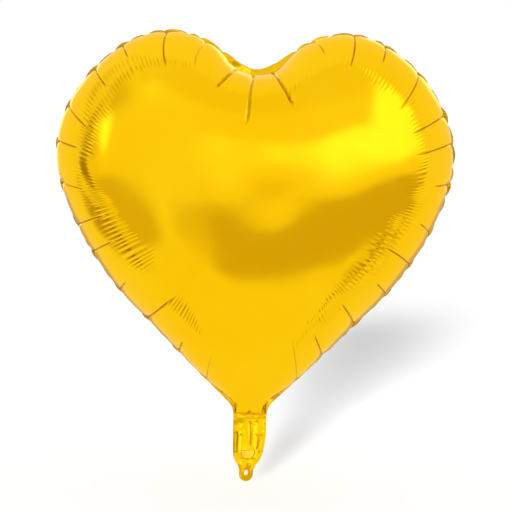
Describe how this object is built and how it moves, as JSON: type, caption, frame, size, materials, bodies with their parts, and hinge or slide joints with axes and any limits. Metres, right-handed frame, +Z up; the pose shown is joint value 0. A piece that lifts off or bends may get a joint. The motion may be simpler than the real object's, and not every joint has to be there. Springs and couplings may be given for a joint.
{
  "type": "heart foil balloon",
  "caption": "Inflated heart-shaped metallic foil balloon with a crinkled sealed edge, a self-sealing valve and a flat filling tail that hinges at the neck.",
  "frame": {"origin": "middle of the pinched neck, on the crease where the tail folds and a ribbon is tied", "axes": "+Z up the balloon from the neck to the notch between the lobes, -Y out of the front face, +X to the right as seen from the front"},
  "size_m": [0.3786, 0.1632, 0.4265],
  "materials": {
    "gold_foil": "polished",
    "valve_film": "satin"
  },
  "bodies": {
    "envelope": {"front_panel": "gold_foil", "back_panel": "gold_foil", "neck_crease": "gold_foil"},
    "valve_front": {"valve_front_film": "valve_film"},
    "valve_back": {"valve_back_film": "valve_film"},
    "tail": {"tail_front_ply": "gold_foil", "tail_back_ply": "gold_foil", "tail_valve_front_film": "valve_film", "tail_valve_back_film": "valve_film"}
  },
  "joints": [
    {"name": "tail_fold", "type": "hinge", "parent": "envelope", "child": "tail", "pos_m": [0, 0, 0], "axis": [1, 0, 0], "range_deg": [-90, 90]},
    {"name": "valve_front_lip", "type": "hinge", "parent": "envelope", "child": "valve_front", "pos_m": [0, -0.00025, 0.0016], "axis": [1, 0, 0], "range_deg": [0, 2]},
    {"name": "valve_back_lip", "type": "hinge", "parent": "envelope", "child": "valve_back", "pos_m": [0, 0.00025, 0.0016], "axis": [1, 0, 0], "range_deg": [-2, 0]}
  ]
}
